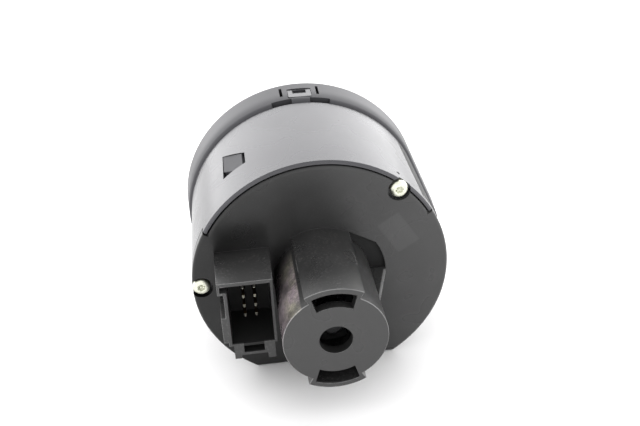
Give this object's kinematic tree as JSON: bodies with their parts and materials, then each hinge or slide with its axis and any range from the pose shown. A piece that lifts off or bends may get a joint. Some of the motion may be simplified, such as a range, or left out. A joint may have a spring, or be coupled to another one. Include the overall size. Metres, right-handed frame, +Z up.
{
  "type": "headlight switch",
  "caption": "Round headlight switch: black drum with a flared bezel, a turn-and-pull knob in front, and a keyed pin socket beside a hollow barrel at the back.",
  "frame": {"origin": "on the drum axis, in the plane where the bezel meets the drum", "axes": "+Y along the drum axis to the rear, the knob faces -Y; +Z is up with the drum's flat at the bottom; +X is the socket side"},
  "size_m": [0.0679, 0.0814, 0.0624],
  "materials": {
    "housing_plastic": "black glass-filled nylon, fine satin",
    "skirt_plastic": "black satin plastic",
    "bezel_plastic": "black satin plastic, fine grain",
    "dial_plastic": "black, lightly grained",
    "knob_plastic": "black soft-touch",
    "inlay_plastic": "gloss black",
    "pointer_white": "white, translucent",
    "trim_chrome": "satin chrome",
    "screw_steel": "bright zinc",
    "spring_steel": "spring steel",
    "pin_gold": "gilt",
    "contact_copper": "copper alloy",
    "board_green": "solder mask",
    "header_plastic": "black",
    "guide_clear": "clear",
    "lamp_white": "white lamp body",
    "rotor_plastic": "natural acetal",
    "spindle_plastic": "dark grey acetal"
  },
  "bodies": {
    "housing": {"rear_housing": "housing_plastic", "front_housing": "skirt_plastic", "bezel": "bezel_plastic", "face_plate": "dial_plastic", "light_guide": "guide_clear", "circuit_board": "board_green", "board_lamps": "lamp_white", "pin_header": "header_plastic", "connector_pins": "pin_gold", "housing_screw_upper": "screw_steel", "housing_screw_side": "screw_steel", "housing_screw_lower": "screw_steel", "detent_spring": "spring_steel", "pull_spring": "spring_steel", "fog_blades": "contact_copper"},
    "rotor": {"rotor": "rotor_plastic", "rotor_ring": "spring_steel", "wiper_contacts": "contact_copper"},
    "knob": {"spindle": "spindle_plastic", "slider_ring": "spring_steel", "knob_body": "knob_plastic", "knob_clip": "spring_steel", "knob_cap": "inlay_plastic", "knob_pointer": "pointer_white", "knob_ring": "trim_chrome"},
    "fog_slider": {"fog_slider": "spindle_plastic", "fog_bridge": "contact_copper"}
  },
  "joints": [
    {"name": "knob_turn", "type": "hinge", "parent": "housing", "child": "rotor", "pos_m": [0, 0, 0], "axis": [0, 1, 0], "range_deg": [-30, 60], "deforming": ["detent_spring"]},
    {"name": "knob_pull", "type": "slide", "parent": "rotor", "child": "knob", "axis": [0, -1, 0], "range_m": [0, 0.006], "deforming": ["pull_spring"]},
    {"name": "slider_travel", "type": "slide", "parent": "housing", "child": "fog_slider", "axis": [0, -1, 0], "range_m": [0, 0.006]}
  ],
  "couplings": [
    {"joint": "slider_travel", "follows": "knob_pull", "ratio": 1}
  ]
}
